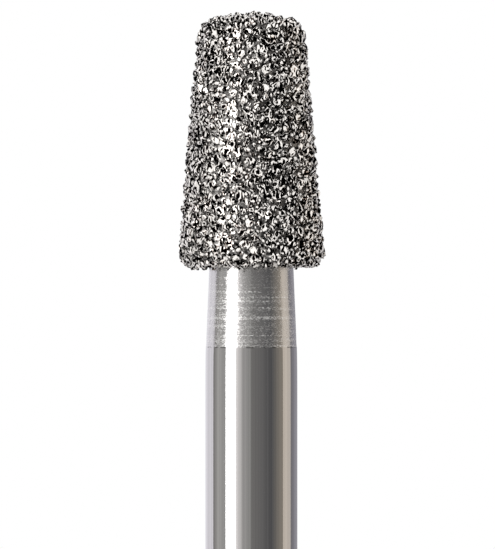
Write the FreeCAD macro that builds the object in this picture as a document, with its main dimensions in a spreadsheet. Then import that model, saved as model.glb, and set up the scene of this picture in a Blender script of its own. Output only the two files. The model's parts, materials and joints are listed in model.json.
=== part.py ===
"""Friction-grip dental bur with a tapered, round-edged head coated in coarse diamond grit.

The bur is a turned steel blank, a nickel bond plated over its head, and the diamond crystals
that the bond holds. +Z runs up the axis from the flat end of the shank, at the origin, to the
tip of the head. All sizes are in millimetres.
"""
import FreeCAD
import Part
import Sketcher
import math
import os
import random

# Driving sizes. Over the crystals, the head is the envelope that their outermost points keep to.
SIZES = {
    "overall_length": (19.0, "end of the shank to the tip, over the crystals"),
    "shank_dia": (1.60, "friction-grip shank"),
    "end_chamfer": (0.22, "chamfer on the end of the shank"),
    "neck_dia": (1.45, "neck where it meets the core of the head"),
    "neck_length": (1.85, "taper from the shank to the core of the head"),
    "head_length": (4.48, "underside to tip, over the crystals"),
    "head_dia": (2.65, "cone at the underside, over the crystals"),
    "tip_dia": (1.88, "cone at the tip, over the crystals"),
    "tip_edge_radius": (0.41, "rounded edge of the bond at the tip"),
    "rim_chamfer": (0.14, "chamfered rim of the bond at the underside"),
    "core_tip_chamfer": (0.22, "chamfer on the steel core at the tip"),
    "core_rim_chamfer": (0.10, "chamfer on the steel core at the underside"),
    "grit_standoff": (0.09, "height of the crystals above the bond"),
    "bond_depth": (0.10, "nickel between the core and the foot of the crystals"),
    "grit_pitch": (0.249, "distance between the centres of neighbouring crystals"),
    "grit_max_dia": (0.26, "largest crystal, across its corners"),
    "neck_margin": (0.03, "bare nickel between the neck and the first crystals"),
}

# How the crystals are spread: they go astray by a share of the pitch.
SEED = 13
GOLDEN_TURN = math.pi * (3 - math.sqrt(5))
STEPS_A_PITCH = 400
ASTRAY_SHARE = 0.13

# How they are shaped, on a crystal whose corners are 1 from its centre.
OCTAHEDRON_SHARE = 0.9
SQUAT_MIN = 0.78
PROUD_MIN = 0.7
CLEAR = 0.03
MERGE = 1e-4

# How near an edge's radius and height are to those of the corner that swept it.
EDGE_MATCH = 1e-4

# Lengths that several sketches share, as expressions on the sheet.
SLOPE = "((sizes.head_dia - sizes.tip_dia) / 2 / sizes.head_length)"
SECANT = f"sqrt(1 + {SLOPE} * {SLOPE})"
BOND_INSET = "sizes.grit_standoff"
CORE_INSET = "(sizes.grit_standoff + sizes.bond_depth)"


def make_sheet(doc):
    """Write the driving sizes to a spreadsheet, one alias for each."""
    sheet = doc.addObject("Spreadsheet::Sheet", "sizes")
    for row, (alias, (value, note)) in enumerate(SIZES.items(), start=1):
        sheet.set(f"A{row}", note)
        sheet.set(f"B{row}", str(value))
        sheet.setAlias(f"B{row}", alias)
    doc.recompute()
    return sheet


def underside(inset):
    """Height of the head's underside, taken in by inset."""
    return f"sizes.overall_length - sizes.head_length + {inset}"


def tip(inset):
    """Height of the head's tip, taken in by inset."""
    return f"sizes.overall_length - {inset}"


def underside_radius(inset):
    """Radius at which the cone meets the underside, both taken in by inset."""
    return f"sizes.head_dia / 2 - {inset} * ({SECANT} + {SLOPE})"


def tip_radius(inset):
    """Radius at which the cone meets the tip, both taken in by inset."""
    return f"sizes.tip_dia / 2 - {inset} * ({SECANT} - {SLOPE})"


def half_section(body, name, corners):
    """Sketch a closed half section on the XZ plane and bind each corner to the sheet.

    A corner is a label, a radius and a height. None as the radius puts it on the axis, and None
    as the height puts it at the level of the corner before it, or at zero if it is the first.
    """
    sketch = body.newObject("Sketcher::SketchObject", name)
    plane = next(f for f in body.Origin.OriginFeatures if f.Role == "XZ_Plane")
    sketch.AttachmentSupport = (plane, "")
    sketch.MapMode = "FlatFace"
    rough = [FreeCAD.Vector(0.0 if radius is None else 1.0, step, 0.0)
             for step, (_, radius, _) in enumerate(corners)]
    count = len(corners)
    for step in range(count):
        sketch.addGeometry(Part.LineSegment(rough[step], rough[(step + 1) % count]), False)
    for step in range(count):
        sketch.addConstraint(Sketcher.Constraint("Coincident", step, 2, (step + 1) % count, 1))
    for step, (label, radius, height) in enumerate(corners):
        if radius is None:
            sketch.addConstraint(Sketcher.Constraint("PointOnObject", step, 1, -2))
        else:
            bind(sketch, "DistanceX", step, f"{label}_radius", radius)
        if height is not None:
            bind(sketch, "DistanceY", step, f"{label}_height", height)
        elif step == 0:
            sketch.addConstraint(Sketcher.Constraint("PointOnObject", step, 1, -1))
        else:
            sketch.addConstraint(Sketcher.Constraint("Horizontal", step - 1))
    return sketch


def bind(sketch, kind, line, name, expression):
    """Measure the start of a line from the origin and bind that distance to the sheet."""
    index = sketch.addConstraint(Sketcher.Constraint(kind, -1, 1, line, 1, 1.0))
    sketch.renameConstraint(index, name)
    sketch.setExpression(f"Constraints.{name}", expression)


def turn(body, name, sketch):
    """Revolve a half section once round the axis."""
    turned = body.newObject("PartDesign::Revolution", name)
    turned.Profile = sketch
    turned.ReferenceAxis = (sketch, ["V_Axis"])
    turned.Angle = 360.0
    turned.Document.recompute()
    return turned


def edge_at(feature, radius, height):
    """Name the circular edge of a feature that has this radius at this height."""
    for number, edge in enumerate(feature.Shape.Edges, start=1):
        box = edge.BoundBox
        level = abs(box.ZMin - height) < EDGE_MATCH and abs(box.ZMax - height) < EDGE_MATCH
        if level and abs(box.XMax - radius) < EDGE_MATCH:
            return f"Edge{number}"
    raise ValueError(f"{feature.Label} has no round edge of radius {radius} at {height}")


def break_edge(body, kind, name, sketch, corner, size):
    """Fillet or chamfer the circle that a corner of the half section sweeps."""
    base = body.Tip
    height = sketch.getDatum(f"{corner}_height").Value if height_bound(sketch, corner) else 0.0
    edge = edge_at(base, sketch.getDatum(f"{corner}_radius").Value, height)
    broken = body.newObject(f"PartDesign::{kind}", name)
    broken.Base = (base, [edge])
    broken.setExpression("Radius" if kind == "Fillet" else "Size", f"sizes.{size}")
    broken.Document.recompute()
    return broken


def height_bound(sketch, corner):
    """Tell whether the sketch gives this corner a height of its own."""
    return any(c.Name == f"{corner}_height" for c in sketch.Constraints)


def make_blank(doc):
    """Turn the steel blank: shank, tapered neck and the core inside the head."""
    body = doc.addObject("PartDesign::Body", "steel_blank")
    core_bottom = underside(CORE_INSET)
    sketch = half_section(body, "blank_outline", [
        ("shank_centre", None, None),
        ("shank_end", "sizes.shank_dia / 2", None),
        ("shank_top", "sizes.shank_dia / 2", f"{core_bottom} - sizes.neck_length"),
        ("neck_top", "sizes.neck_dia / 2", core_bottom),
        ("core_rim", underside_radius(CORE_INSET), core_bottom),
        ("core_tip", tip_radius(CORE_INSET), tip(CORE_INSET)),
        ("core_centre", None, tip(CORE_INSET)),
    ])
    turn(body, "blank_turned", sketch)
    break_edge(body, "Chamfer", "shank_end_chamfer", sketch, "shank_end", "end_chamfer")
    break_edge(body, "Chamfer", "core_rim_cut", sketch, "core_rim", "core_rim_chamfer")
    break_edge(body, "Chamfer", "core_tip_cut", sketch, "core_tip", "core_tip_chamfer")
    return body


def make_bond(doc, blank):
    """Plate the nickel bond over the head: its outer form less the blank that it grips."""
    body = doc.addObject("PartDesign::Body", "bond_form")
    sketch = half_section(body, "bond_outline", [
        ("foot_centre", None, underside(BOND_INSET)),
        ("bond_rim", underside_radius(BOND_INSET), underside(BOND_INSET)),
        ("bond_tip", tip_radius(BOND_INSET), tip(BOND_INSET)),
        ("tip_centre", None, tip(BOND_INSET)),
    ])
    turn(body, "bond_turned", sketch)
    break_edge(body, "Chamfer", "bond_rim_cut", sketch, "bond_rim", "rim_chamfer")
    break_edge(body, "Fillet", "bond_tip_fillet", sketch, "bond_tip", "tip_edge_radius")
    bond = doc.addObject("Part::Cut", "nickel_bond")
    bond.Base = body
    bond.Tool = blank
    return bond


class BondSurface:
    """The outside of the bond as a path from the neck to the tip, where the crystals sit.

    The path is the underside, the rim's chamfer, the cone, the tip's arc and the tip's flat.
    Each point of it gives a radius, a height and the outward direction in the half section.
    """

    def __init__(self, sheet):
        slope = (sheet.head_dia - sheet.tip_dia) / 2 / sheet.head_length
        secant = math.sqrt(1 + slope * slope)
        lean = math.atan(slope)
        inset = sheet.grit_standoff
        low = sheet.overall_length - sheet.head_length + inset
        high = sheet.overall_length - inset
        corner_low = sheet.head_dia / 2 - inset * (secant + slope)
        corner_high = sheet.tip_dia / 2 - inset * (secant - slope)
        rim, edge = sheet.rim_chamfer, sheet.tip_edge_radius
        rim_foot = (corner_low - rim, low)
        rim_top = (corner_low - rim * slope / secant, low + rim / secant)
        edge_centre = (corner_high - edge * (secant - slope), high - edge)
        start = sheet.neck_dia / 2 + sheet.neck_margin + sheet.grit_pitch / 2
        self.pieces = [
            self.line((start, low), rim_foot),
            self.line(rim_foot, rim_top),
            self.line(rim_top, self.on_arc(edge_centre, edge, lean)),
            self.arc(edge_centre, edge, lean, math.pi / 2),
            self.line((edge_centre[0], high), (0.0, high)),
        ]
        self.length = sum(length for length, _ in self.pieces)

    @staticmethod
    def on_arc(centre, radius, angle):
        return centre[0] + radius * math.cos(angle), centre[1] + radius * math.sin(angle)

    @staticmethod
    def line(start, end):
        length = math.dist(start, end)
        angle = math.atan2(start[0] - end[0], end[1] - start[1])

        def at(run):
            share = run / length
            return (start[0] + (end[0] - start[0]) * share,
                    start[1] + (end[1] - start[1]) * share, angle)
        return length, at

    def arc(self, centre, radius, first, last):
        def at(run):
            angle = first + run / radius
            return (*self.on_arc(centre, radius, angle), angle)
        return radius * (last - first), at

    def at(self, run):
        """Radius, height and outward angle at a distance along the path."""
        for length, piece in self.pieces:
            if run <= length:
                return piece(run)
            run -= length
        return self.pieces[-1][1](self.pieces[-1][0])

    def point(self, run, turn_angle):
        """Point on the surface and its outward normal."""
        radius, height, angle = self.at(run)
        cos_turn, sin_turn = math.cos(turn_angle), math.sin(turn_angle)
        place = FreeCAD.Vector(radius * cos_turn, radius * sin_turn, height)
        across = math.cos(angle)
        normal = FreeCAD.Vector(across * cos_turn, across * sin_turn, math.sin(angle))
        return place, normal


def spread(surface, pitch, rng):
    """Places for the crystals and their outward normals, even in area and a golden turn apart."""
    share = pitch * pitch * math.sqrt(3) / 2
    step = pitch / STEPS_A_PITCH
    astray = ASTRAY_SHARE * pitch
    places = []
    owed = 0.0
    for number in range(int(surface.length / step)):
        owed += 2 * math.pi * surface.at(number * step)[0] * step
        if owed > share:
            owed -= share
            run = min(max(number * step + rng.uniform(-astray, astray), 0.0), surface.length)
            turn_angle = len(places) * GOLDEN_TURN
            turn_angle += rng.uniform(-astray, astray) / max(surface.at(run)[0], pitch)
            places.append(surface.point(run, turn_angle))
    return places


def octahedron():
    """Faces of an octahedron with its corners at unit distance from the centre."""
    signs = (-1.0, 1.0)
    return [[FreeCAD.Vector(x, 0, 0), FreeCAD.Vector(0, y, 0), FreeCAD.Vector(0, 0, z)]
            for x in signs for y in signs for z in signs]


def cuboctahedron():
    """Faces of a cuboctahedron with its corners at unit distance from the centre."""
    scale = 1 / math.sqrt(2)
    signs = (-scale, scale)
    squares = []
    for axis in range(3):
        for side in (-1, 1):
            loop = []
            for first, second in ((1, 0), (0, 1), (-1, 0), (0, -1)):
                corner = [0.0, 0.0, 0.0]
                corner[axis] = side * scale
                corner[(axis + 1) % 3] = first * scale
                corner[(axis + 2) % 3] = second * scale
                loop.append(FreeCAD.Vector(*corner))
            squares.append(loop)
    triangles = [[FreeCAD.Vector(x, y, 0), FreeCAD.Vector(0, y, z), FreeCAD.Vector(x, 0, z)]
                 for x in signs for y in signs for z in signs]
    return squares + triangles


def clip(faces, normal, level):
    """Keep what lies above a level of a convex body given as its faces, and close the cut."""
    kept = []
    rim = []
    for loop in faces:
        heights = [corner.dot(normal) - level for corner in loop]
        cut = []
        for step, corner in enumerate(loop):
            here, there = heights[step], heights[(step + 1) % len(loop)]
            if here > 0.0:
                cut.append(corner)
            if here * there < 0.0:
                following = loop[(step + 1) % len(loop)]
                crossing = corner + (following - corner) * (here / (here - there))
                cut.append(crossing)
                rim.append(crossing)
        if cut:
            kept.append(cut)
    kept.append(in_order(rim, normal))
    return kept


def in_order(points, normal):
    """Sort points of a plane round their centre, one for each place."""
    single = []
    for point in points:
        if all(point.distanceToPoint(other) > MERGE for other in single):
            single.append(point)
    centre = FreeCAD.Vector()
    for point in single:
        centre += point / len(single)
    first = (single[0] - centre).normalize()
    second = normal.cross(first)
    return sorted(single, key=lambda p: math.atan2((p - centre).dot(second), (p - centre).dot(first)))


def crystal(place, normal, reach, standoff, rng):
    """One crystal that stands out of the bond at place, with its foot on the tangent plane.

    It is the upper half of an octahedron or a cuboctahedron that is squashed a little and turned
    any way up, widened to its reach and raised to the height at which it stands proud.
    """
    axis = FreeCAD.Vector(*(rng.gauss(0.0, 1.0) for _ in range(3)))
    facing = FreeCAD.Rotation(axis, rng.uniform(0.0, 360.0))
    squat = [rng.uniform(SQUAT_MIN, 1.0) for _ in range(3)]
    habit = octahedron() if rng.random() < OCTAHEDRON_SHARE else cuboctahedron()
    faces = [[facing.multVec(FreeCAD.Vector(p.x * squat[0], p.y * squat[1], p.z * squat[2]))
              for p in loop] for loop in habit]
    heights = [point.dot(normal) for loop in faces for point in loop]
    level = 0.0
    while any(abs(height - level) < CLEAR for height in heights):
        level += CLEAR
    kept = clip(faces, normal, level)
    corners = [point for loop in kept for point in loop]
    widen = reach / max((point - normal * point.dot(normal)).Length for point in corners)
    raise_by = standoff * rng.uniform(PROUD_MIN, 1.0) / (max(heights) - level)

    def seated(point):
        height = point.dot(normal)
        return place + (point - normal * height) * widen + normal * ((height - level) * raise_by)

    return polyhedron([[seated(point) for point in loop] for loop in kept])


def polyhedron(faces):
    """Solid bounded by flat faces, each a loop of corners."""
    shell = Part.Shell([Part.Face(Part.makePolygon([*loop, loop[0]])) for loop in faces])
    solid = Part.Solid(shell)
    if solid.Volume < 0:
        solid.reverse()
    return solid


def make_grit(doc, sheet):
    """Spread diamond crystals over the bond, each as large as its neighbours leave room for."""
    rng = random.Random(SEED)
    places = spread(BondSurface(sheet), sheet.grit_pitch, rng)
    solids = []
    for place, normal in places:
        room = min(place.distanceToPoint(other) for other, _ in places if other is not place) / 2
        reach = min(room, sheet.grit_max_dia / 2)
        solids.append(crystal(place, normal, reach, sheet.grit_standoff, rng))
    grit = doc.addObject("Part::Feature", "diamond_grit")
    grit.Shape = Part.makeCompound(solids)
    grit.Placement = FreeCAD.Placement()
    return grit


def check(doc, nodes):
    """Stop if any object failed, or if a sub-part isn't made of valid closed solids."""
    for item in doc.Objects:
        if {"Invalid", "Error"} & set(item.State):
            raise RuntimeError(f"{item.Label} failed: {item.State}")
    for node in nodes:
        shape = node.Shape
        if shape.isNull() or not shape.isValid() or not shape.Solids:
            raise RuntimeError(f"{node.Label} isn't a valid solid")


def main():
    doc = FreeCAD.newDocument("dental_bur")
    sheet = make_sheet(doc)
    blank = make_blank(doc)
    bond = make_bond(doc, blank)
    grit = make_grit(doc, sheet)
    doc.recompute()
    nodes = [blank, bond, grit]
    check(doc, nodes)
    os.makedirs("parts", exist_ok=True)
    for node in nodes:
        node.Shape.exportStep(f"parts/{node.Label}.step")
        print(node.Label, "solids", len(node.Shape.Solids), "faces", len(node.Shape.Faces),
              "volume", round(node.Shape.Volume, 4))


main()
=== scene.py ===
import itertools
import json
import math

import bpy
import numpy as np
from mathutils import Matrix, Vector, noise

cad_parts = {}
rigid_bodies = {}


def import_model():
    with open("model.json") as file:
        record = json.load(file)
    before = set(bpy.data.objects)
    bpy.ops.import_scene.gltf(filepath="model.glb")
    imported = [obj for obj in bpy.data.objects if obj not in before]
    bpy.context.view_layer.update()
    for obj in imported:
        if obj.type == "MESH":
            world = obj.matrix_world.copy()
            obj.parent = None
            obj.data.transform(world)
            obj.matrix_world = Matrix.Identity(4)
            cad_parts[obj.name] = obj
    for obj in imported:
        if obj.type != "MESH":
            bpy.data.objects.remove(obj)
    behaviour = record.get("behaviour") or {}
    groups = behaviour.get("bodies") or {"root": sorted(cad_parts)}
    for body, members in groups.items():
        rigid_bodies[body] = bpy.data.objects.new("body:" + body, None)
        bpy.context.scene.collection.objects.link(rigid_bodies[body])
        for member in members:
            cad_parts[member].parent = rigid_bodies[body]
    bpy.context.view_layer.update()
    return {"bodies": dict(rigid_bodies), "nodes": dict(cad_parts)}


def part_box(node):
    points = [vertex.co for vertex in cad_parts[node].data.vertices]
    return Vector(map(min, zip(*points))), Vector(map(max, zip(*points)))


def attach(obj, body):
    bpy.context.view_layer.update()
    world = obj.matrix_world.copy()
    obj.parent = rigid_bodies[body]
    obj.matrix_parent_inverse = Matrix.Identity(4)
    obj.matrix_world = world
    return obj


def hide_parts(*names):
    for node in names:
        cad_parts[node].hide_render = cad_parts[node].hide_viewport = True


mm = 0.001  # the drawing is in millimetres, Blender's scene in metres

for leftover in list(bpy.data.objects):
    bpy.data.objects.remove(leftover)
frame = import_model()
print("frame loaded, bodies:", ", ".join(frame["bodies"]))


class Wire:  # a socket that takes part in sums, each of which adds a Math node
    def __init__(self, bench, socket):
        self.bench = bench
        self.socket = socket

    def worked(self, operation, *terms):
        return self.bench.add("ShaderNodeMath", {"operation": operation}, dict(enumerate(terms)))

    def __add__(self, other):
        return self.worked("ADD", self, other)

    def __radd__(self, other):
        return self.worked("ADD", other, self)

    def __sub__(self, other):
        return self.worked("SUBTRACT", self, other)

    def __rsub__(self, other):
        return self.worked("SUBTRACT", other, self)

    def __mul__(self, other):
        return self.worked("MULTIPLY", self, other)

    def __rmul__(self, other):
        return self.worked("MULTIPLY", other, self)

    def higher(self, other):
        return self.worked("MAXIMUM", self, other)

    def magnitude(self):
        return self.worked("ABSOLUTE", self)

    def sine(self):
        return self.worked("SINE", self)

    def step(self, start, end):  # smooth step from 0 to 1, where start may lie above end
        settings = {"interpolation_type": "SMOOTHSTEP", "clamp": True}
        return self.bench.add("ShaderNodeMapRange", settings, {
            "Value": self, "From Min": start, "From Max": end})


class Bench:  # the node tree of one material or of the world
    def __init__(self, owner):
        owner.use_nodes = True
        self.owner = owner
        self.tree = owner.node_tree
        self.tree.nodes.clear()

    def add(self, kind, settings=None, sockets=None, output=0):
        node = self.tree.nodes.new(kind)
        for setting, value in (settings or {}).items():
            setattr(node, setting, value)
        for name, value in (sockets or {}).items():
            self.join(node.inputs[name], value)
        return Wire(self, node.outputs[output]) if len(node.outputs) else None

    def join(self, socket, value):
        if isinstance(value, Wire):
            self.tree.links.new(value.socket, socket)
        elif socket.type == "RGBA":
            socket.default_value = (*value, 1.0)
        else:
            socket.default_value = value

    def mixed(self, share, first, second, blend="MIX"):  # colours
        settings = {"data_type": "RGBA", "blend_type": blend, "clamp_factor": True}
        return self.add("ShaderNodeMix", settings, {0: share, 6: first, 7: second}, output=2)

    def placed(self, stretch):  # object coordinates in millimetres, times a stretch
        place = self.add("ShaderNodeTexCoord", output=3)
        factor = tuple(value / mm for value in stretch)
        return self.add("ShaderNodeVectorMath", {"operation": "MULTIPLY"}, {0: place, 1: factor})

    def grain(self, stretch, scale, detail, roughness=0.5):  # noise, features per millimetre
        return self.add("ShaderNodeTexNoise", None, {
            "Vector": self.placed(stretch), "Scale": scale, "Detail": detail,
            "Roughness": roughness})

    def cells(self, scale):  # distance to the nearest Voronoi cell's middle, cells per millimetre
        return self.add("ShaderNodeTexVoronoi", None, {
            "Vector": self.placed((1, 1, 1)), "Scale": scale})

    def height(self):  # height above the end of the shank, in millimetres
        return self.add("ShaderNodeSeparateXYZ", None, {0: self.placed((1, 1, 1))}, output=2)

    def painted(self, name):  # a value that the mesh carries
        return self.add("ShaderNodeAttribute", {"attribute_name": name}, output=2)

    def bumped(self, relief, depth):  # relief of 0 to 1, depth in millimetres
        return self.add("ShaderNodeBump", None, {
            "Height": relief, "Distance": depth * mm, "Strength": 1.0})

    def body(self, **sockets):
        named = {name.replace("_", " "): value for name, value in sockets.items()}
        return self.add("ShaderNodeBsdfPrincipled", None, named)

    def finished(self, shader):
        self.add("ShaderNodeOutputMaterial", None, {"Surface": shader})
        return self.owner


def newBench(name):
    return Bench(bpy.data.materials.new(name))


def newMesh(name, corners, faces, finish, smooth=False):  # corners in millimetres
    mesh = bpy.data.meshes.new(name)
    mesh.from_pydata(np.array(corners) * mm, [], faces)
    mesh.polygons.foreach_set("use_smooth", np.full(len(mesh.polygons), smooth))
    mesh.materials.append(finish)
    mesh.update()
    piece = bpy.data.objects.new(name, mesh)
    bpy.context.scene.collection.objects.link(piece)
    return piece


def paint(piece, name, values, domain):  # one value for each face or each corner
    layer = piece.data.attributes.new(name, "FLOAT", domain)
    layer.data.foreach_set("value", np.asarray(values, dtype=np.float32))


def around(radius, turn, height):  # a place by its distance from the axis, its turn and its height
    return radius * math.sin(turn), -radius * math.cos(turn), height


def hoop(radius, height, sides):  # the corners of one ring round the axis
    return [around(radius, side * 2 * math.pi / sides, height) for side in range(sides)]


def belt(low, high, sides):  # the faces between two rings, each given by its first corner
    return [(low + side, low + (side + 1) % sides, high + (side + 1) % sides, high + side)
            for side in range(sides)]


def turned(name, outline, sides, finish):  # lathe a list of (radius, height), closed on the axis
    rings = [(radius, height) for radius, height in outline if radius > 0.0]
    corners = [corner for radius, height in rings for corner in hoop(radius, height, sides)]
    foot, crown = len(corners), len(corners) + 1
    last = foot - sides
    corners += [(0.0, 0.0, outline[0][1]), (0.0, 0.0, outline[-1][1])]
    faces = []
    for low in range(0, last, sides):
        faces += belt(low, low + sides, sides)
    for side in range(sides):
        beside = (side + 1) % sides
        faces += [(foot, beside, side), (crown, last + side, last + beside)]
    return newMesh(name, corners, faces, finish, smooth=True)


def sharpened(piece, angle):  # edges steeper than this stay crisp
    piece.data.set_sharp_from_angle(angle=math.radians(angle))


# the blank: ground shank, shoulder, dull neck and the core under the coat
blank = {
    "sides": 256,
    "outline": [
        (0.0, 0.0), (0.56, 0.0), (0.58, 0.012), (0.785, 0.212), (0.80, 0.24), (0.80, 1.0),
        (0.80, 3.0), (0.80, 6.0), (0.80, 9.0), (0.80, 11.0), (0.80, 12.45), (0.7990, 12.72),
        (0.7972, 12.94), (0.7948, 13.075), (0.7925, 13.152), (0.7918, 13.160), (0.7872, 13.170),
        (0.7864, 13.18), (0.7826, 13.29), (0.7755, 13.48), (0.7670, 13.70), (0.7580, 13.90),
        (0.7487, 14.12), (0.7365, 14.43), (0.7250, 14.71), (1.0240, 14.71), (1.1090, 14.81),
        (0.9900, 16.10), (0.8700, 17.50), (0.7750, 18.59), (0.5550, 18.81), (0.0, 18.81)],
    "crispAngle": 24.0,
    "steel": (0.62, 0.61, 0.605),
    # the colour of the painted highlights on the neck's dashes and dots
    "paintedGlint": (0.93, 0.92, 0.90),
    # the colour of the painted shade along the shoulder's step
    "toneShift": (0.10, 0.095, 0.095),
    "shoulder": 13.165,  # where the dull neck meets the polished shank
    "shoulderBlur": 0.006,
    "wander": {"stretch": (1, 1, 0), "scale": 3.0, "detail": 1.0},
    "wanderReach": 0.012,  # how far the neck's dull finish strays from a straight line
    "line": (0.014, 0.006),  # the broken dark line of painted shade along the shoulder's step, from none to full
    "lineShare": 0.75,
    "breaks": {"stretch": (1, 1, 1), "scale": 7.0, "detail": 2.0},
    "breakStep": (0.46, 0.56),
    "pits": {"stretch": (0.75, 0.75, 1.5), "scale": 38.0, "detail": 1.5, "roughness": 0.6},
    "rows": {"stretch": (0.25, 0.25, 11.0), "scale": 1.6, "detail": 1.5, "roughness": 0.6},
    "dashMix": (0.64, 0.36),  # the dashes are pits that stand in rows
    "dashStep": (0.55, 0.62),
    "dashHighlight": 0.50,
    "dashRough": 0.20,
    "dashScale": 0.05,  # how much less metallic they are, so that their painted highlight shows under any light
    "fadeSpan": (14.45, 13.9),  # the dashes thin out over this height, towards the head
    "fade": 0.06,
    "dotRows": (0.58, 0.64),  # dots of painted highlight, where strong rows and pits meet
    "dotPits": (0.53, 0.60),
    "dotHighlight": 0.75,
    "dotScale": 0.25,
    "neckScale": 0.02,
    "polished": 0.06,
    "dull": 0.125,
    "sheen": {"stretch": (1.0, 1.0, 0.02), "scale": 6.0, "detail": 2.0},
    "sheenSpread": 0.02,
    "reliefMix": (1.5, 0.5),
    "scoreDepth": 0.0016,
}


def steelFinish(form):
    bench = newBench("groundSteel")
    height = bench.height()
    shoulder, blur = form["shoulder"], form["shoulderBlur"]
    wander = bench.grain(**form["wander"]) - 0.5
    neck = (height + wander * form["wanderReach"]).step(shoulder - blur, shoulder + blur)
    pits = bench.grain(**form["pits"])
    rows = bench.grain(**form["rows"])
    fade = height.step(*form["fadeSpan"]) * form["fade"]
    pitShare, rowShare = form["dashMix"]
    dashes = (pits * pitShare + rows * rowShare + fade).step(*form["dashStep"])
    dots = rows.step(*form["dotRows"]) * pits.step(*form["dotPits"]) * neck
    sheen = bench.grain(**form["sheen"])
    shine = form["polished"] + sheen * form["sheenSpread"]
    shine = shine + neck * (form["dull"] - form["polished"]) + neck * dashes * form["dashRough"]
    # a broken line of painted shade along the shoulder's step
    edge = (height - shoulder).magnitude().step(*form["line"])
    broken = bench.grain(**form["breaks"]).step(*form["breakStep"])
    tone = bench.mixed(edge * broken * form["lineShare"], form["steel"], form["toneShift"])
    # painted highlights on the neck's dashes and dots, which are also real pits and rows in the
    # relief
    paintedHighlight = (neck * dashes * form["dashHighlight"]).higher(dots * form["dotHighlight"])
    tone = bench.mixed(paintedHighlight, tone, form["paintedGlint"])
    scale = neck * (form["neckScale"] + dashes * form["dashScale"])
    pitRelief, rowRelief = form["reliefMix"]
    relief = neck * (pits * pitRelief + rows * rowRelief)
    return bench.finished(bench.body(
        Base_Color=tone, Metallic=1.0 - scale - dots * form["dotScale"], Roughness=shine,
        Normal=bench.bumped(relief, form["scoreDepth"])))


steelBlank = turned("turnedBlank", blank["outline"], blank["sides"], steelFinish(blank))
sharpened(steelBlank, blank["crispAngle"])
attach(steelBlank, "root")
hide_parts("steel_blank")
print("blank turned,", len(steelBlank.data.polygons), "faces")


# the head's form under the crystals: underside, cut rim, cone, rounded tip and its flat
head = {
    "foot": 14.61,
    "top": 18.91,
    "neckRadius": 0.7250,
    "footRadius": 1.22693,
    "topRadius": 0.857403,
    "rimCut": 0.14,
    "tipRounding": 0.41,
    "roundingSteps": 16,
    "flatSteps": 12,
    "standoff": 0.09,
    "crownDrop": 0.085,  # the coat thins out between the middle of the tip and its edge
    "crownSpan": (0.22, 0.85),
}


def headPath(form):
    slope = (form["footRadius"] - form["topRadius"]) / (form["top"] - form["foot"])
    secant = math.hypot(1.0, slope)
    lean = math.atan(slope)
    rim, edge = form["rimCut"], form["tipRounding"]
    centre = (form["topRadius"] - edge * (secant - slope), form["top"] - edge)
    arc = [(centre[0] + edge * math.cos(angle), centre[1] + edge * math.sin(angle))
           for angle in np.linspace(lean, math.pi / 2, form["roundingSteps"])]
    flat = [(radius, form["top"]) for radius in np.linspace(centre[0], 0.0, form["flatSteps"])[1:]]
    corners = np.array([
        (form["neckRadius"], form["foot"]),
        (form["footRadius"] - rim, form["foot"]),
        (form["footRadius"] - rim * slope / secant, form["foot"] + rim / secant),
        *arc,
        *flat])
    start, end = form["crownSpan"]
    swell = np.sin(np.clip((corners[:, 0] - start) / (end - start), 0.0, 1.0) * math.pi) ** 2
    corners[:, 1] -= form["crownDrop"] * swell * (corners[:, 1] > form["top"] - edge)
    return corners


path = headPath(head)
runs = np.hypot(*np.diff(path, axis=0).T)
reached = np.concatenate([[0.0], np.cumsum(runs)])


def onHead(run, turn):  # place and outward normal at a distance along the path and a turn
    step = min(int(np.searchsorted(reached, run, side="right")) - 1, len(runs) - 1)
    share = (run - reached[step]) / runs[step]
    radius, height = path[step] + (path[step + 1] - path[step]) * share
    along = (path[step + 1] - path[step]) / runs[step]
    return np.array(around(radius, turn, height)), np.array(around(along[1], turn, -along[0]))


def nearestOnHead(point):  # distance along the path and turn of the place nearest to a point
    flat = np.array([math.hypot(point[0], point[1]), point[2]])
    nearest, run = math.inf, 0.0
    for step, length in enumerate(runs):
        along = (path[step + 1] - path[step]) / length
        share = float(np.clip((flat - path[step]) @ along, 0.0, length))
        gap = np.linalg.norm(flat - path[step] - along * share)
        if gap < nearest:
            nearest, run = gap, reached[step] + share
    return run, math.atan2(point[0], -point[1])


# the nickel skin that holds the crystals, lumpy where it creeps up round them
bond = {
    "sides": 220,
    "step": 0.022,
    "crownGap": 0.03,  # the last ring's distance from the axis
    "inside": [
        (0.5550, 18.81), (0.7750, 18.59), (1.1090, 14.81), (1.0240, 14.71), (0.7250, 14.71)],
    "lumps": 0.035,
    "lumpSize": 0.11,
    "lumpLevel": 0.35,  # the part of the noise above this stands out, the rest sinks
    "footFade": 0.06,  # the lumps grow over this distance from the neck
    "nickel": (0.37, 0.355, 0.34),
    # painted shade, where the noise is low
    "paintedShade": (0.05, 0.047, 0.045),
    # the colour of the painted glints at the cells' middles
    "paintedGlint": (0.62, 0.61, 0.60),
    "grain": {"stretch": (1, 1, 1), "scale": 14.0, "detail": 5.0, "roughness": 0.65},
    "paintedShadeStep": (0.35, 0.62),
    "specks": 22.0,
    "glintStep": (0.30, 0.05),
    "glintShare": 0.6,
    "shine": 0.28,
    "shineSpread": 0.25,
    "reliefMix": (0.7, 0.5),
    "reliefDepth": 0.02,
}


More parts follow.
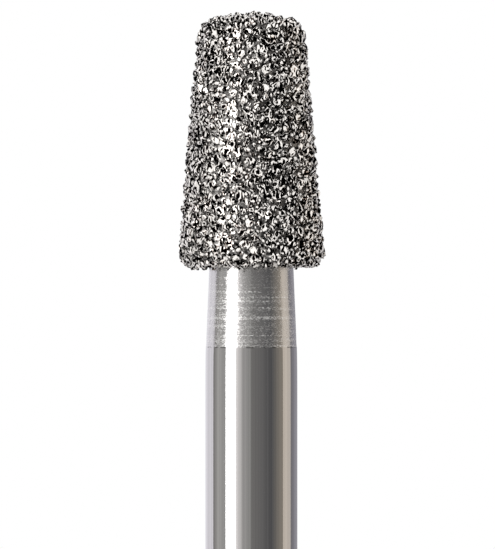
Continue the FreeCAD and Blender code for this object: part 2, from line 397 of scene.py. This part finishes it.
def nickelFinish(form):
    bench = newBench("platedNickel")
    lumps = bench.grain(**form["grain"])
    specks = bench.cells(form["specks"])
    # the nickel darkened by painted shade where the noise is low
    shadeTone = bench.mixed(lumps.step(*form["paintedShadeStep"]), form["paintedShade"], form["nickel"])
    # painted glints at the middles of the cells, which are also real bumps in the relief
    glintShare = specks.step(*form["glintStep"]) * form["glintShare"]
    lumpRelief, speckRelief = form["reliefMix"]
    relief = lumps * lumpRelief + specks * speckRelief
    return bench.finished(bench.body(
        Base_Color=bench.mixed(glintShare, shadeTone, form["paintedGlint"]), Metallic=1.0,
        Roughness=form["shine"] + lumps * form["shineSpread"],
        Normal=bench.bumped(relief, form["reliefDepth"])))


def nickelSkin(form):
    sides = form["sides"]
    corners = []
    for run in np.linspace(0.0, reached[-1] - form["crownGap"], int(reached[-1] / form["step"])):
        fade = min(1.0, run / form["footFade"])
        for turn in np.arange(sides) * 2 * math.pi / sides:
            place, normal = onHead(run, turn)
            lump = noise.noise(Vector(place / form["lumpSize"])) - form["lumpLevel"]
            corners.append(place + normal * lump * form["lumps"] * fade)
    innerTop = len(corners)
    outerTop = innerTop - sides
    for radius, height in form["inside"]:
        corners += hoop(radius, height, sides)
    innerFoot = len(corners) - sides
    crown, ceiling = len(corners), len(corners) + 1
    corners += [(0.0, 0.0, head["top"]), (0.0, 0.0, form["inside"][0][1])]
    faces = []
    for low in (*range(0, outerTop, sides), *range(innerTop, innerFoot, sides)):
        faces += belt(low, low + sides, sides)
    faces += belt(innerFoot, 0, sides)
    for side in range(sides):
        beside = (side + 1) % sides
        faces += [(crown, outerTop + side, outerTop + beside),
                  (ceiling, innerTop + beside, innerTop + side)]
    return newMesh("nickelSkin", corners, faces, nickelFinish(form), smooth=True)


nickel = nickelSkin(bond)
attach(nickel, "root")
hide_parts("nickel_bond")
print("nickel plated,", len(nickel.data.polygons), "faces")


# the crystals' forms: bodies that random planes enclose
cutting = {
    "habits": {
        "blocks": {"forms": 26, "facets": 13, "seed": 21},
        "chips": {"forms": 26, "facets": 10, "seed": 22},
        "splinters": {"forms": 22, "facets": 8, "seed": 23}},
    "unevenness": 0.20,
    "nearest": 0.72,  # planes lie between this and 1 from the middle
    "longest": 1.9,  # a body that reaches farther is a sliver, and is tried again
    "parallel": 1e-3,
    "outside": 1e-9,
    "touching": 1e-7,
}


def crystalForm(facets, rng):  # corners, the farthest of them at 1, and the loops of the facets
    turn = np.arange(facets) * math.pi * (3 - math.sqrt(5))
    level = 1 - (np.arange(facets) + 0.5) * 2 / facets
    flat = np.sqrt(1 - level * level)
    normals = np.stack([flat * np.cos(turn), flat * np.sin(turn), level], axis=1)
    normals += rng.normal(0.0, cutting["unevenness"], normals.shape)
    normals /= np.linalg.norm(normals, axis=1)[:, None]
    depths = rng.uniform(cutting["nearest"], 1.0, facets)
    corners = []
    for trio in itertools.combinations(range(facets), 3):
        trio = list(trio)
        if abs(np.linalg.det(normals[trio])) > cutting["parallel"]:
            corner = np.linalg.solve(normals[trio], depths[trio])
            if (normals @ corner <= depths + cutting["outside"]).all():
                corners.append(corner)
    corners = np.array(corners)
    reach = np.linalg.norm(corners, axis=1).max()
    if reach > cutting["longest"]:
        return crystalForm(facets, rng)
    loops = []
    for normal, depth in zip(normals, depths):
        touching = np.flatnonzero(np.abs(corners @ normal - depth) < cutting["touching"])
        if len(touching) > 2:
            spokes = corners[touching] - corners[touching].mean(axis=0)
            first = spokes[0] / np.linalg.norm(spokes[0])
            second = np.cross(normal, first)
            order = np.argsort(np.arctan2(spokes @ second, spokes @ first))
            loops.append(touching[order])
    return corners / reach, loops


def formSet(habit):
    rng = np.random.default_rng(habit["seed"])
    return [crystalForm(habit["facets"], rng) for _ in range(habit["forms"])]


def randomTurn(rng):
    w, x, y, z = rng.normal(size=4)
    size = w * w + x * x + y * y + z * z
    return np.array([
        [w * w + x * x - y * y - z * z, 2 * (x * y - w * z), 2 * (x * z + w * y)],
        [2 * (x * y + w * z), w * w - x * x + y * y - z * z, 2 * (y * z - w * x)],
        [2 * (x * z - w * y), 2 * (y * z + w * x), w * w - x * x - y * y + z * z]]) / size


def cadCrystals(name):  # the corners of each crystal in the source, in millimetres
    keysPerMm = 1e4  # corners that agree to this fineness are one
    mesh = frame["nodes"][name].data
    places = np.empty(len(mesh.vertices) * 3)
    mesh.vertices.foreach_get("co", places)
    keys = np.round(places.reshape(-1, 3) / mm * keysPerMm).astype(np.int64)
    single, number = np.unique(keys, axis=0, return_inverse=True)
    number = number.reshape(-1)
    island = np.arange(len(single))

    def root(item):
        while island[item] != item:
            island[item] = island[island[item]]
            item = island[item]
        return item

    for face in mesh.polygons:
        ends = [root(number[corner]) for corner in face.vertices]
        for end in ends[1:]:
            island[root(end)] = root(ends[0])
    roots = np.array([root(item) for item in range(len(single))])
    return [single[roots == label] / keysPerMm for label in np.unique(roots)]


# the coat: the source's crystals at their own places, then smaller ones packed in between
coat = {
    "seed": 31,
    "grownSeeds": (41, 42),
    "packs": {
        "chips": {"reach": (0.052, 0.095), "overlap": 0.74},
        "splinters": {"reach": (0.026, 0.052), "overlap": 0.60}},
    "candidates": 26000,
    "stations": 400,
    "neckGap": 0.02,
    "neckRoom": 0.6,  # and this share of a crystal's reach
    "proudShare": (0.45, 0.85),
    "proudLimit": 0.93,
    "rim": (0.20, 0.50),  # where some grains hang from the edge of the underside, and how far
    "hang": 0.10,
    "hangSpread": (0.3, 1.0),
    "hanging": 0.28,
    "squash": (0.62, 1.0),
    "spill": (1.05, 1.25),  # how far past its own reach a crystal goes
    "flushShare": 0.8,  # crystals that lie flush with the head, and how nearly all of them do
    "flush": 0.97,
    "tipped": 0.1,
    "lean": -7.0,  # degrees that they lean round the axis, as the bur turns
    # near black, the colour of painted shade
    "shadeTone": (0.0005, 0.0005, 0.0005),
    "grey": (0.51, 0.47, 0.425),
    "umber": (0.51, 0.43, 0.385),
    # the colour of the painted highlights
    "highlightTone": (0.97, 0.935, 0.895),
    "toneShift": {"stretch": (1, 1, 1), "scale": 2.2, "detail": 1.0},
    "stainStep": (0.42, 0.58),
    "chips": {"stretch": (1, 1, 0.40), "scale": 34.0, "detail": 0.0},
    "chipShare": 3.0,
    "flow": {"stretch": (1, 1, 0.60), "scale": 10.0, "detail": 0.8},
    "flowBands": 4.3,
    "bandShare": 0.90,
    "toneShare": 0.08,
    "facetShare": 0.10,
    "lift": 0.21,
    # painted shade where the pattern is low and at the crystals' feet, painted highlights where it
    # is high
    "paintedShadeStep": (0.32, 0.05),
    "footShadeStep": (0.25, 0.0),
    "shadeStep": (0.12, 0.44),
    "highlightStep": (0.50, 0.80),
    "highlightMatteShare": 0.75,  # how far the painted highlights are diffuse white and not mirror, so that they show under any light
    "shine": 0.10,
    "shineSpread": 0.25,
    "refraction": 1.6,
}


def packCrystals(form):
    rng = np.random.default_rng(form["seed"])
    placed = []
    for corners in cadCrystals("diamond_grit"):
        place, normal = onHead(*nearestOnHead(corners.mean(axis=0)))
        heights = (corners - place) @ normal
        flat = corners - place - np.outer(heights, normal)
        reach = float(np.linalg.norm(flat, axis=1).max())
        placed.append((place, normal, reach, min(float(heights.max()), head["standoff"]), "blocks"))
    centres = np.array([item[0] for item in placed])
    reaches = np.array([item[2] for item in placed])
    stations = np.linspace(0, reached[-1], form["stations"])
    widths = np.interp(stations, reached, path[:, 0])
    shares = np.cumsum(widths) / widths.sum()
    highest = head["standoff"] * form["proudLimit"]
    rimStart, rimEnd = form["rim"]
    for habit, pack in form["packs"].items():
        before = len(placed)
        for reach in np.sort(rng.uniform(*pack["reach"], form["candidates"]))[::-1]:
            run = float(np.interp(rng.random(), shares, stations))
            run = max(run, form["neckGap"] + reach * form["neckRoom"])
            place, normal = onHead(run, rng.uniform(-math.pi, math.pi))
            gaps = np.linalg.norm(centres - place, axis=1)
            if (gaps > (reaches + reach) * pack["overlap"]).all():
                height = min(reach * rng.uniform(*form["proudShare"]), highest)
                if rimStart < run < rimEnd and rng.random() < form["hanging"]:
                    height += form["hang"] * rng.uniform(*form["hangSpread"])
                placed.append((place, normal, reach, height, habit))
                centres = np.vstack([centres, place])
                reaches = np.append(reaches, reach)
        print("  ", habit, len(placed) - before)
    return placed


def laidFlush(piece, upward, share):  # facets shine as if they lay nearer to the head's form
    mesh = piece.data
    normals = np.empty(len(mesh.polygons) * 3)
    sizes = np.empty(len(mesh.polygons), dtype=np.int32)
    mesh.polygons.foreach_get("normal", normals)
    mesh.polygons.foreach_get("loop_total", sizes)
    mesh.polygons.foreach_set("use_smooth", np.ones(len(mesh.polygons), dtype=bool))
    shone = normals.reshape(-1, 3) * (1.0 - share) + upward * share
    shone /= np.maximum(np.linalg.norm(shone, axis=1), 1e-3)[:, None]
    mesh.normals_split_custom_set(np.repeat(shone, sizes, axis=0).tolist())


def grownCoat(name, crystals, forms, finish, seed):
    rng = np.random.default_rng(seed)
    allowed = np.array(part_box("diamond_grit")) / mm
    lean = math.radians(coat["lean"])
    corners, faces, tones, facets, depths, upward, flush = [], [], [], [], [], [], []
    count = 0
    for place, normal, reach, height, habit in crystals:
        form, loops = forms[habit][rng.integers(len(forms[habit]))]
        body = (form * rng.uniform(*coat["squash"], 3)) @ randomTurn(rng).T
        body *= reach * rng.uniform(*coat["spill"]) / np.linalg.norm(body, axis=1).max()
        body += (height - (body @ normal).max()) * normal
        body += place
        over = np.maximum(body.max(axis=0) - allowed[1], 0.0)
        under = np.minimum(body.min(axis=0) - allowed[0], 0.0)
        body -= over + under
        corners.append(body)
        leant = (normal[0] * math.cos(lean) - normal[1] * math.sin(lean),
                 normal[0] * math.sin(lean) + normal[1] * math.cos(lean), normal[2])
        tone = rng.random()
        share = coat["flush"] if rng.random() < coat["flushShare"] else coat["tipped"]
        for loop in loops:
            faces.append(tuple(int(corner) + count for corner in loop))
            tones.append(tone)
            facets.append(rng.random())
            upward.append(leant)
            flush.append(share)
        # each corner's height over the head, by which the crystals' feet get painted shade
        depths.append(np.clip(((body - place) @ normal) / head["standoff"], 0.0, 1.0))
        count += len(body)
    piece = newMesh(name, np.vstack(corners), faces, finish)
    laidFlush(piece, np.array(upward), np.array(flush)[:, None])
    paint(piece, "tone", tones, "FACE")
    paint(piece, "facet", facets, "FACE")
    paint(piece, "proud", np.concatenate(depths), "POINT")
    return piece


def diamondFinish(name, form):
    bench = newBench(name)
    tone = bench.painted("tone")
    facet = bench.painted("facet")
    proud = bench.painted("proud")
    chips = bench.grain(**form["chips"])
    flow = bench.grain(**form["flow"])
    bands = (flow * (form["flowBands"] * 2 * math.pi)).sine()  # they run along the noise's contours
    # random tone of each crystal and facet, with noise whose low parts become painted shade and
    # whose high parts painted highlights
    value = tone * form["toneShare"] + facet * form["facetShare"]
    value = value + (chips - 0.5) * form["chipShare"] + bands * form["bandShare"] + form["lift"]
    # painted shade, black, where the pattern is low and at the crystals' feet
    paintedShade = value.step(*form["paintedShadeStep"]).higher(proud.step(*form["footShadeStep"]))
    # painted highlights where the pattern is high
    paintedHighlight = value.step(*form["highlightStep"])
    toneShift = bench.grain(**form["toneShift"]).step(*form["stainStep"])
    stone = bench.mixed(toneShift, form["grey"], form["umber"])
    # near-black metal, painted shade, where the pattern is low
    shade = bench.mixed(value.step(*form["shadeStep"]), form["shadeTone"], stone)
    crystal = bench.body(
        Base_Color=bench.mixed(paintedHighlight, shade, form["highlightTone"]),
        Metallic=1.0 - paintedHighlight * form["highlightMatteShare"],
        Roughness=form["shine"] + facet * tone * form["shineSpread"],
        IOR=form["refraction"])
    # a black diffuse finish that stands where painted shade is
    gap = bench.add("ShaderNodeBsdfDiffuse", None, {"Color": form["shadeTone"]})
    return bench.finished(bench.add("ShaderNodeMixShader", None, {0: paintedShade, 1: crystal, 2: gap}))


forms = {name: formSet(habit) for name, habit in cutting["habits"].items()}
crystals = packCrystals(coat)
large = [crystal for crystal in crystals if crystal[4] != "splinters"]
small = [crystal for crystal in crystals if crystal[4] == "splinters"]
gritSeed, finesSeed = coat["grownSeeds"]
grit = grownCoat("diamondCoat", large, forms, diamondFinish("cutDiamond", coat), gritSeed)
fines = grownCoat("diamondFines", small, forms, diamondFinish("brokenDiamond", coat), finesSeed)
for piece in (grit, fines):
    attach(piece, "root")
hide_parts("diamond_grit")
print("coat grown,", len(crystals), "crystals,", len(grit.data.polygons), "and",
      len(fines.data.polygons), "facets")


# the table top, the lamps, and the cards round the bur that are seen only in its polish
studio = {
    "cardRadius": 90.0,
    "cardFoot": -110.0,
    "cardTop": 100.0,
    "cardSteps": 24,
    "cards": [  # name, turn from and to, tone there and there
        ("lavenderCard", -180.0, -110.7, (0.91, 0.90, 0.96), (0.93, 0.91, 0.97)),
        ("greyCard", -110.7, -90.0, (0.26, 0.25, 0.245), (0.53, 0.525, 0.51)),
        ("greyFringe", -90.0, -67.0, (0.53, 0.525, 0.51), (0.42, 0.42, 0.415)),
        ("keyFringe", -40.5, -22.0, (1.15, 1.12, 1.12), (0.56, 0.55, 0.54)),
        ("roomNear", -22.0, 0.0, (0.48, 0.47, 0.465), (0.32, 0.32, 0.31)),
        ("roomDark", 0.0, 54.0, (0.235, 0.23, 0.225), (0.115, 0.115, 0.12)),
        ("warmWall", 54.0, 86.0, (0.14, 0.14, 0.14), (0.37, 0.33, 0.28)),
        ("beigeCard", 86.0, 116.0, (0.78, 0.70, 0.61), (0.72, 0.66, 0.60)),
        ("darkGap", 116.0, 125.0, (0.29, 0.28, 0.295), (0.22, 0.215, 0.235)),
        ("slateCard", 125.0, 180.0, (0.29, 0.285, 0.32), (0.43, 0.42, 0.46))],
    "folds": {"stretch": (1, 1, 0), "scale": 0.16, "detail": 3.0, "roughness": 0.7},
    "foldStep": (0.30, 0.70),
    "foldDark": (0.86, 0.86, 0.86),
    "foldLight": (1.14, 1.14, 1.14),
    "tableRadius": 110.0,
    "tableSides": 96,
    "tableTone": 0.80,
    "tableSpread": 0.01,
    "tableDull": 0.9,
    "fibres": {"stretch": (1, 1, 1), "scale": 1.6, "detail": 4.0},
    "skyTone": (1.0, 1.0, 1.0),
    "skyStrength": 0.85,
    "keyTurn": -53.6,
    "keyGap": 3.0,  # in front of the cards
    "keyMiddle": 42.0,
    "keySize": (40.3, 130.0),
    "keyPower": 0.055,
    "softTurn": -10.0,
    "softDistance": 120.0,
    "softHeight": 90.0,
    "softAim": 12.0,
    "softSize": (70.0, 70.0),
    "softPower": 0.12,
}


def unseen(piece, *rays):
    for ray in rays:
        setattr(piece, "visible_" + ray, False)


def studioCard(name, start, end, first, last):
    steps = studio["cardSteps"]
    corners, faces, shades = [], [], []
    for step in range(steps + 1):
        share = step / steps
        turn = math.radians(start + (end - start) * share)
        for height in (studio["cardFoot"], studio["cardTop"]):
            corners.append(around(studio["cardRadius"], turn, height))
            shades.append([a + (b - a) * share for a, b in zip(first, last)] + [1.0])
        if step:
            low = 2 * step - 2
            faces.append((low, low + 1, low + 3, low + 2))
    bench = newBench(name + "Paper")
    shade = bench.add("ShaderNodeAttribute", {"attribute_name": "shade"})
    folds = bench.grain(**studio["folds"]).step(*studio["foldStep"])
    folds = bench.mixed(folds, studio["foldDark"], studio["foldLight"])
    lit = bench.mixed(1.0, shade, folds, blend="MULTIPLY")
    glow = bench.add("ShaderNodeEmission", None, {"Color": lit, "Strength": 1.0})
    card = newMesh(name, corners, faces, bench.finished(glow))
    layer = card.data.attributes.new("shade", "FLOAT_COLOR", "POINT")
    layer.data.foreach_set("color", np.array(shades, dtype=np.float32).ravel())
    unseen(card, "camera", "diffuse", "shadow", "transmission")


def tableTop():
    bench = newBench("tablePaper")
    darker = (studio["tableTone"] - studio["tableSpread"],) * 3
    lighter = (studio["tableTone"] + studio["tableSpread"],) * 3
    tone = bench.mixed(bench.grain(**studio["fibres"]), darker, lighter)
    finish = bench.finished(bench.body(Base_Color=tone, Roughness=studio["tableDull"]))
    sides = studio["tableSides"]
    corners = hoop(studio["tableRadius"], 0.0, sides)
    table = newMesh("tableTop", corners, [tuple(range(sides))], finish)
    unseen(table, "glossy")  # the polish shows the cards, which stand lower than the table


def openSky():
    world = bpy.context.scene.world or bpy.data.worlds.new("studioWorld")
    bpy.context.scene.world = world
    bench = Bench(world)
    rays = bench.add("ShaderNodeLightPath").socket.node.outputs
    looked, glossy, through = (
        Wire(bench, rays[ray]) for ray in ("Is Camera Ray", "Is Glossy Ray", "Is Transmission Ray"))
    seen = looked.higher(glossy).higher(through)
    plain = bench.add("ShaderNodeBackground", None, {
        "Color": studio["skyTone"], "Strength": studio["skyStrength"]})
    white = bench.add("ShaderNodeBackground", None, {"Color": studio["skyTone"], "Strength": 1.0})
    mixed = bench.add("ShaderNodeMixShader", None, {0: seen, 1: plain, 2: white})
    bench.add("ShaderNodeOutputWorld", None, {"Surface": mixed})


def areaLamp(name, shape, size, power, place):
    lamp = bpy.data.lights.new(name, "AREA")
    lamp.shape = shape
    lamp.size = size[0] * mm
    lamp.size_y = size[1] * mm
    lamp.energy = power
    stand = bpy.data.objects.new(name, lamp)
    stand.location = place
    bpy.context.scene.collection.objects.link(stand)
    return stand


def keyLamp():
    turn = math.radians(studio["keyTurn"])
    distance = studio["cardRadius"] - studio["keyGap"]
    place = np.array(around(distance, turn, studio["keyMiddle"])) * mm
    stand = areaLamp("keyLamp", "RECTANGLE", studio["keySize"], studio["keyPower"], place)
    stand.rotation_euler = (math.pi / 2, 0.0, turn)
    unseen(stand, "camera", "diffuse")


def softBox():
    turn = math.radians(studio["softTurn"])
    place = Vector(around(studio["softDistance"], turn, studio["softHeight"])) * mm
    aim = Vector((0.0, 0.0, studio["softAim"] * mm))
    stand = areaLamp("softBox", "DISK", studio["softSize"], studio["softPower"], place)
    stand.rotation_euler = (place - aim).to_track_quat("Z", "Y").to_euler()
    unseen(stand, "camera", "glossy")


for card in studio["cards"]:
    studioCard(*card)
tableTop()
openSky()
keyLamp()
softBox()
print("studio set up")


# the camera stands level with the middle of what the photograph shows
view = {
    "lens": 250.0,
    "sensor": 36.0,
    "clip": (0.001, 10.0),  # in metres
    "pixels": (495, 549),
    "scale": 57.5,  # pixels to a millimetre at the axis
    "axisPixel": 251.35,
    "topHeight": 19.0,
    "topPixel": 11.25,
}


def takeView():
    wide, tall = view["pixels"]
    middle = view["topHeight"] - (tall / 2 - view["topPixel"]) / view["scale"]
    aside = (wide / 2 - view["axisPixel"]) / view["scale"]
    distance = tall / view["scale"] * view["lens"] / view["sensor"]
    lens = bpy.data.cameras.new("camera")
    lens.lens = view["lens"]
    lens.sensor_width = view["sensor"]
    lens.clip_start, lens.clip_end = view["clip"]
    camera = bpy.data.objects.new("camera", lens)
    camera.location = (aside * mm, -distance * mm, middle * mm)
    camera.rotation_euler = (math.pi / 2, 0.0, 0.0)
    bpy.context.scene.collection.objects.link(camera)
    bpy.context.scene.camera = camera


takeView()
bpy.context.scene.view_settings.view_transform = "Standard"
